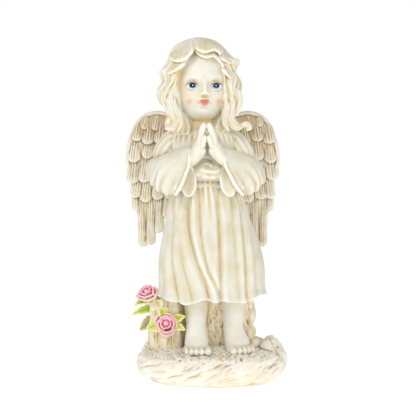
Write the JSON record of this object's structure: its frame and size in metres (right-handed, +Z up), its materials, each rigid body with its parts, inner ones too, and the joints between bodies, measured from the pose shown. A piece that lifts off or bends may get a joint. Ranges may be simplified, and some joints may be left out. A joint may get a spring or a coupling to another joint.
{
  "type": "praying child angel statue",
  "caption": "Painted resin figure of a winged child at prayer, barefoot in a long dress on a rocky mound with roses on a stump, for a grave, shelf or garden.",
  "frame": {"origin": "in the flat underside of the mound, under the middle of the figure", "axes": "+Z up, the figure faces -Y, +X on the viewer's right"},
  "size_m": [0.1411, 0.0912, 0.299],
  "materials": {
    "painted_resin": "ivory paint with a brown antique wash, pink and green flowers, satin"
  },
  "bodies": {
    "root": {"praying_angel": "painted_resin"}
  },
  "joints": []
}
